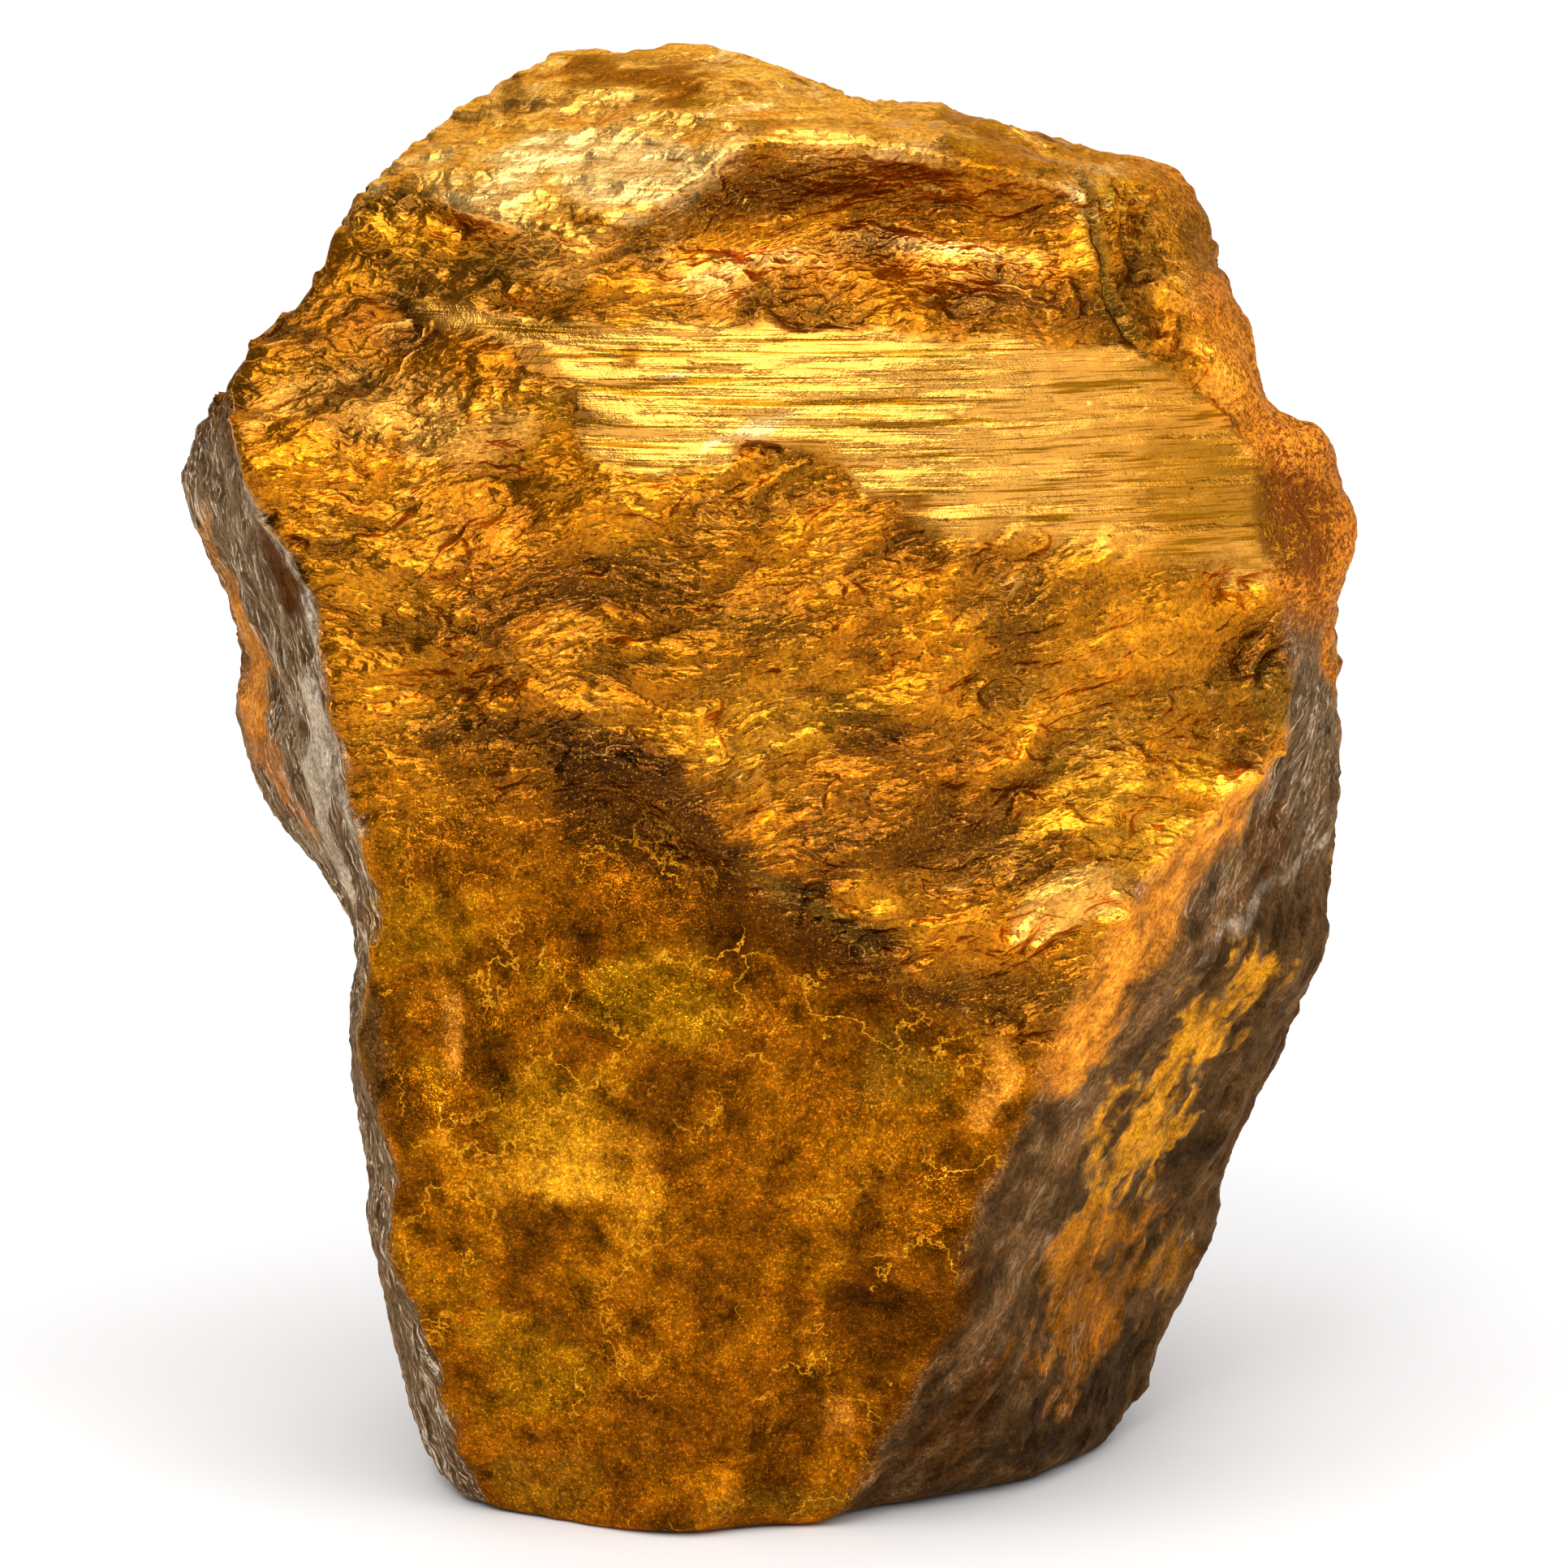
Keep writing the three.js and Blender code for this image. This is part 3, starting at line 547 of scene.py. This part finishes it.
class Rock:
    """The nodes of a material, added one by one."""

    def __init__(self, name):
        self.material = bpy.data.materials.new(name)
        self.material.use_nodes = True
        self.tree = self.material.node_tree
        self.shader = self.tree.nodes["Principled BSDF"]

    def add(self, kind, inputs=(), **settings):
        made = self.tree.nodes.new(kind)
        for key, value in settings.items():
            setattr(made, key, value)
        for key, value in dict(inputs).items():
            self.feed(made.inputs[key], value)
        return made

    def feed(self, socket, value):
        if isinstance(value, bpy.types.NodeSocket):
            self.tree.links.new(value, socket)
        else:
            socket.default_value = value

    def attribute(self, name, output="Color"):
        return self.add("ShaderNodeAttribute", attribute_name=name).outputs[output]

    def parts(self, name):
        """The three channels of a colour attribute."""
        return self.add("ShaderNodeSeparateColor", {0: self.attribute(name)}).outputs[:3]

    def axes(self, vector):
        return self.add("ShaderNodeSeparateXYZ", {0: vector}).outputs

    def math(self, operation, a, b=0.0, c=0.0):
        return self.add("ShaderNodeMath", {0: a, 1: b, 2: c}, operation=operation).outputs[0]

    def times(self, first, *others):
        for other in others:
            first = self.math("MULTIPLY", first, other)
        return first

    def more(self, base, extra, share):
        """The base, with a share of something extra added."""
        return self.math("MULTIPLY_ADD", extra, share, base)

    def stretch(self, vector, scale, turn=(0, 0, 0)):
        return self.add("ShaderNodeMapping", {"Vector": vector, "Scale": scale, "Rotation": turn}).outputs[0]

    def grain(self, vector, scale, detail, roughness=0.6):
        inputs = {"Vector": vector, "Scale": scale, "Detail": detail, "Roughness": roughness}
        return self.add("ShaderNodeTexNoise", inputs).outputs["Fac"]

    def crinkle(self, vector, scale, detail, roughness=0.6):
        """Sharp crests, from about 0 in the troughs to about 2 on the crests."""
        made = self.add("ShaderNodeTexNoise", noise_type="RIDGED_MULTIFRACTAL", normalize=False)
        inputs = {"Vector": vector, "Scale": scale, "Detail": detail, "Roughness": roughness}
        for key, value in {**inputs, "Offset": 0.9, "Gain": 2.0}.items():
            self.feed(made.inputs[key], value)
        return made.outputs["Fac"]

    def span(self, value, from_low, from_high, to_low, to_high):
        inputs = {0: value, 1: from_low, 2: from_high, 3: to_low, 4: to_high}
        return self.add("ShaderNodeMapRange", inputs).outputs[0]

    def mix(self, share, a, b, blend_type="MIX"):
        made = self.add("ShaderNodeMix", data_type="RGBA", blend_type=blend_type)
        self.feed(made.inputs[0], share)
        self.feed(made.inputs[6], a if isinstance(a, bpy.types.NodeSocket) else (*a, 1))
        self.feed(made.inputs[7], b if isinstance(b, bpy.types.NodeSocket) else (*b, 1))
        return made.outputs[2]

    def facets(self, vector):
        """Flat tilted flakes, one to a cell, for a crumpled surface."""
        cell = self.add("ShaderNodeTexVoronoi", {"Vector": vector, "Scale": 1.0, "Randomness": 1.0}).outputs
        reach = self.add("ShaderNodeVectorMath", {0: vector, 1: cell["Position"]}, operation="SUBTRACT")
        middle = (0.5, 0.5, 0.5)
        tilt = self.add("ShaderNodeVectorMath", {0: cell["Color"], 1: middle}, operation="SUBTRACT")
        both = {0: reach.outputs["Vector"], 1: tilt.outputs["Vector"]}
        return self.add("ShaderNodeVectorMath", both, operation="DOT_PRODUCT").outputs["Value"]

    def arcs(self, vector, count, wander_scale, wander):
        """Narrow lips one above the other: each rises to 1 at a crisp edge and drops to 0 above it."""
        bend = self.grain(self.stretch(vector, wander_scale), 1, 1.5, 0.45)
        phase = self.more(self.times(bend, wander), self.axes(vector)[2], count)
        return self.math("POWER", self.math("FRACT", phase), ARC_SHARPNESS)

    def shade(self, colour, factor):
        """The colour made darker or lighter by a factor."""
        grey = self.add("ShaderNodeCombineColor", {0: factor, 1: factor, 2: factor}).outputs[0]
        return self.mix(1.0, colour, grey, "MULTIPLY")

    def varied(self, colour, pattern, dark_at, light_at, depth):
        """The colour made darker and lighter by a pattern, as deep as the depth says."""
        spread = self.span(pattern, dark_at, light_at, -1, 1)
        return self.shade(colour, self.more(1, spread, depth))


class Nellite(Rock):
    """The stone's material: textures measured in millimetres, each on its own kinds of surface."""

    def __init__(self):
        super().__init__("nellite")
        place = self.add("ShaderNodeTexCoord").outputs["Object"]
        self.mm = self.stretch(place, (1 / MM,) * 3)
        self.band, self.wave, self.crown = self.parts("silk")
        self.skin, self.rust, self.dull = self.parts("crust")
        self.lively, self.veined, self.broken = self.axes(self.attribute("patches", "Vector"))
        self.folded = self.more(self.wave, self.crown, 0.7)
        self.lined = self.math("MAXIMUM", self.band, self.times(self.crown, 0.5))
        self.set_grains()
        self.set_fibres()
        self.set_folds()

    def set_grains(self):
        mm = self.mm
        self.mottle = self.grain(mm, 0.6, 4, 0.74)
        self.sand = self.grain(mm, 1.8, 3, 0.72)
        self.speck = self.grain(mm, 5, 2, 0.8)
        self.glint_grain = self.grain(mm, 10, 2, 0.5)
        self.filigree = self.crinkle(mm, 0.42, 4)

    def set_fibres(self):
        along = (0, math.radians(FIBRE_TILT), 0)
        self.fibres = self.grain(self.stretch(self.mm, (0.1, 0.3, 3.4), along), 1, 2, 0.7)
        self.hairs = self.grain(self.stretch(self.mm, (0.25, 0.6, 9), along), 1, 2, 0.7)
        streak = self.attribute("streak", "Vector")
        self.strands = self.crinkle(self.stretch(streak, (4, 4, 0.22)), 1, 3, 0.62)

    def set_folds(self):
        flow = self.attribute("flow", "Vector")
        self.crinkles = self.crinkle(self.stretch(flow, (1, 1, 2.2)), 1, 2, 0.5)
        frayed = self.attribute("frayed", "Vector")
        broad = self.facets(self.stretch(frayed, (0.45, 0.45, 1.4)))
        self.flaky = self.more(broad, self.facets(self.stretch(frayed, (1.2, 1.2, 3.2))), 0.4)
        self.lips = self.times(self.arcs(flow, 0.9, (0.3, 0.3, 0.5), 5.12), self.lively)
        self.fine_lips = self.times(self.arcs(flow, 2.1, (0.6, 0.6, 0.9), 7.68), self.lively)

    def colour(self):
        """The tint, uneven by its grain, with the marks of each kind of surface over it, painted highlights,
        glints and shade among them.
        """
        silk = self.math("MAXIMUM", self.folded, self.band)
        depth = self.more(self.more(0.45, silk, -0.3), self.dull, 0.25)
        colour = self.varied(self.attribute("tint"), self.mottle, 0.32, 0.68, depth)
        colour = self.varied(colour, self.speck, 0.34, 0.66, self.more(0.42, self.band, -0.35))
        # painted light and shade: lighter on the crinkle crests and darker in their troughs
        crinkle_light_and_shade = self.shade(colour, self.span(self.crinkles, 0.2, 1.5, 0.8, 1.25))
        colour = self.mix(self.folded, colour, crinkle_light_and_shade)
        for mark, pattern, none_at, full_at, share, where in self.marks():
            strength = self.times(self.span(pattern, none_at, full_at, 0, share), where)
            colour = self.mix(strength, colour, mark)
        # painted glints: the dull surfaces brightened at specks of the glint grain
        painted_glints = self.span(self.glint_grain, 0.58, 0.7, 0, 1.3)
        return self.shade(colour, self.more(1, painted_glints, self.dull))

    def marks(self):
        """Marks, as (colour, pattern, where it starts, where it is full, share, kind of surface)."""
        lips = self.times(self.math("MAXIMUM", self.lips, self.fine_lips), self.folded)
        bark = self.bark()
        crumbs = self.more(self.times(self.sand, 0.4), self.speck, 0.6)
        veined = self.times(self.veined, self.dull)
        veins = self.math("ABSOLUTE", self.math("SUBTRACT", self.grain(self.mm, 0.24, 6), 0.5))
        return [
            # painted highlight on the highest crinkle crests
            (CREAM, self.crinkles, 1.25, 1.65, 0.3, self.folded),
            # painted highlight along the lips of the folds
            (STRAW, lips, 0.4, 0.9, 0.5, 1),
            # painted glints on the silky folds
            (HONEY, self.glint_grain, 0.6, 0.7, 0.5, self.folded),
            (OLIVE, self.fibres, 0.45, 0.38, 0.95, self.lined),
            (BROWN, self.hairs, 0.44, 0.36, 0.85, self.lined),
            (ASH, self.strands, 1.2, 1.5, 0.95, bark),
            (SOOT, self.strands, 0.95, 0.4, 0.85, bark),
            (OXBLOOD, crumbs, 0.52, 0.43, 0.92, self.rust),
            # painted glints on the rust's grains
            (HONEY, crumbs, 0.54, 0.64, 0.85, self.rust),
            (HONEY, veins, 0.01, 0.002, 1, veined),
            (HONEY, self.filigree, 1.65, 1.95, 0.6, veined),
        ]

    def bark(self):
        """Where the skin is stranded: in grey patches, most of them left or high on the right."""
        x, _, z = self.axes(self.mm)
        sides = self.math("MAXIMUM", self.span(x, -2, 2, 1, 0.25), self.span(z, 24, 31, 0.25, 0.85))
        red = self.parts("tint")[0]
        grey = self.times(self.span(red, 0.1, 0.18, 0.1, 1), self.span(red, 0.3, 0.6, 1, 0.2))
        worn = self.span(self.mottle, 0.38, 0.55, 0.25, 1)
        return self.times(self.skin, sides, self.broken, grey, worn)

    def bump(self):
        """The fine relief: how many millimetres each pattern rises, and on which kind of surface."""
        rises = [
            (self.crinkles, 0.06, self.folded),
            (self.flaky, 0.15, self.folded),
            (self.lips, 0.12, self.folded),
            (self.speck, -0.03, self.folded),
            (self.fibres, 0.08, self.lined),
            (self.sand, 0.3, self.skin),
            (self.strands, 0.09, self.skin),
            (self.sand, 0.5, self.rust),
            (self.speck, 0.2, self.rust),
            (self.flaky, 0.08, self.dull),
            (self.sand, 0.16, self.dull),
            (self.speck, 0.04, 1),
        ]
        height = 0
        for pattern, rise, where in rises:
            height = self.more(height, self.times(pattern, rise), where)
        return self.add("ShaderNodeBump", {"Strength": 1.0, "Distance": MM, "Height": height}).outputs[0]

    def roughness(self):
        crust = self.math("ADD", self.skin, self.rust)
        return self.more(self.span(self.mottle, 0.3, 0.7, 0.2, 0.3), crust, 0.16)

    def metal(self):
        """Silky surfaces shine as if they were metal, and crusts the least."""
        metal = self.more(0.6, self.math("ADD", self.folded, self.band), 0.3)
        metal = self.more(metal, self.dull, 0.2)
        return self.more(metal, self.math("ADD", self.skin, self.rust), -0.15)


def nellite():
    rock = Nellite()
    bump = rock.bump()
    finish = {
        "Base Color": rock.colour(),
        "Roughness": rock.roughness(),
        "Metallic": rock.metal(),
        "Normal": bump,
        "Coat Normal": bump,
        "Coat Weight": rock.times(rock.wave, 0.08),
        "Coat Roughness": 0.12,
        "Specular IOR Level": 0.05,
        "Specular Tint": (1, 0.64, 0.22, 1),
    }
    for socket, value in finish.items():
        rock.feed(rock.shader.inputs[socket], value)
    return rock.material


# ---------------------------------------------------------------- the set


def look_from(azimuth, elevation, distance, target):
    """A place at a bearing from the target, and the turn that faces it."""
    a, e = math.radians(azimuth), math.radians(elevation)
    away = Vector((math.sin(a) * math.cos(e), -math.cos(a) * math.cos(e), math.sin(e)))
    return target + away * distance, (-away).to_track_quat("-Z", "Y").to_euler()


def far_light(name, azimuth, elevation, spread, power):
    """A soft light so far away that it lights the floor evenly."""
    light = bpy.data.lights.new(name, "SUN")
    light.angle = math.radians(spread)
    light.energy = power
    lamp = bpy.data.objects.new(name, light)
    lamp.location, lamp.rotation_euler = look_from(azimuth, elevation, 0.5, Vector((0, 0, 30 * MM)))
    bpy.context.scene.collection.objects.link(lamp)


def camera():
    """A long lens level with the middle of the face, looking down a little."""
    lens = bpy.data.cameras.new("camera")
    lens.lens = LENS
    lens.sensor_width = SENSOR
    lens.clip_start = 0.01
    lens.clip_end = 10
    eye = bpy.data.objects.new("camera", lens)
    target = Vector(CAMERA_TARGET) * MM
    eye.location, eye.rotation_euler = look_from(0, CAMERA_HEIGHT, CAMERA_AWAY * MM, target)
    bpy.context.scene.collection.objects.link(eye)
    bpy.context.scene.camera = eye


def floor():
    bm = bmesh.new()
    bmesh.ops.create_grid(bm, x_segments=1, y_segments=1, size=3)
    mesh = bpy.data.meshes.new("floor")
    bm.to_mesh(mesh)
    bm.free()
    pale = bpy.data.materials.new("pale_floor")
    pale.use_nodes = True
    shader = pale.node_tree.nodes["Principled BSDF"]
    shader.inputs["Base Color"].default_value = (0.87, 0.87, 0.87, 1)
    shader.inputs["Roughness"].default_value = 0.9
    shader.inputs["Specular IOR Level"].default_value = 0.1
    mesh.materials.append(pale)
    ground = bpy.data.objects.new("floor", mesh)
    bpy.context.scene.collection.objects.link(ground)


def studio():
    world = bpy.data.worlds.new("studio")
    world.use_nodes = True
    sky = world.node_tree.nodes["Background"]
    sky.inputs["Color"].default_value = (1, 1, 1, 1)
    sky.inputs["Strength"].default_value = 0.12
    bpy.context.scene.world = world
    bpy.context.scene.view_settings.view_transform = "Standard"
    for name, azimuth, elevation, spread, power in LIGHTS:
        far_light(name, azimuth, elevation, spread, power)


camera()
floor()
studio()

piece = fine_stone(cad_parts["nellite_stone"])
points, normals = read(piece)
kinds = regions(points, normals)
relief = carve(piece, points, normals, kinds)
paint(piece, points, kinds, relief)
thinned(piece)
piece.data.materials.append(nellite())
piece.data.polygons.foreach_set("use_smooth", np.ones(len(piece.data.polygons), bool))
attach(piece, "root")
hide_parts("nellite_stone")
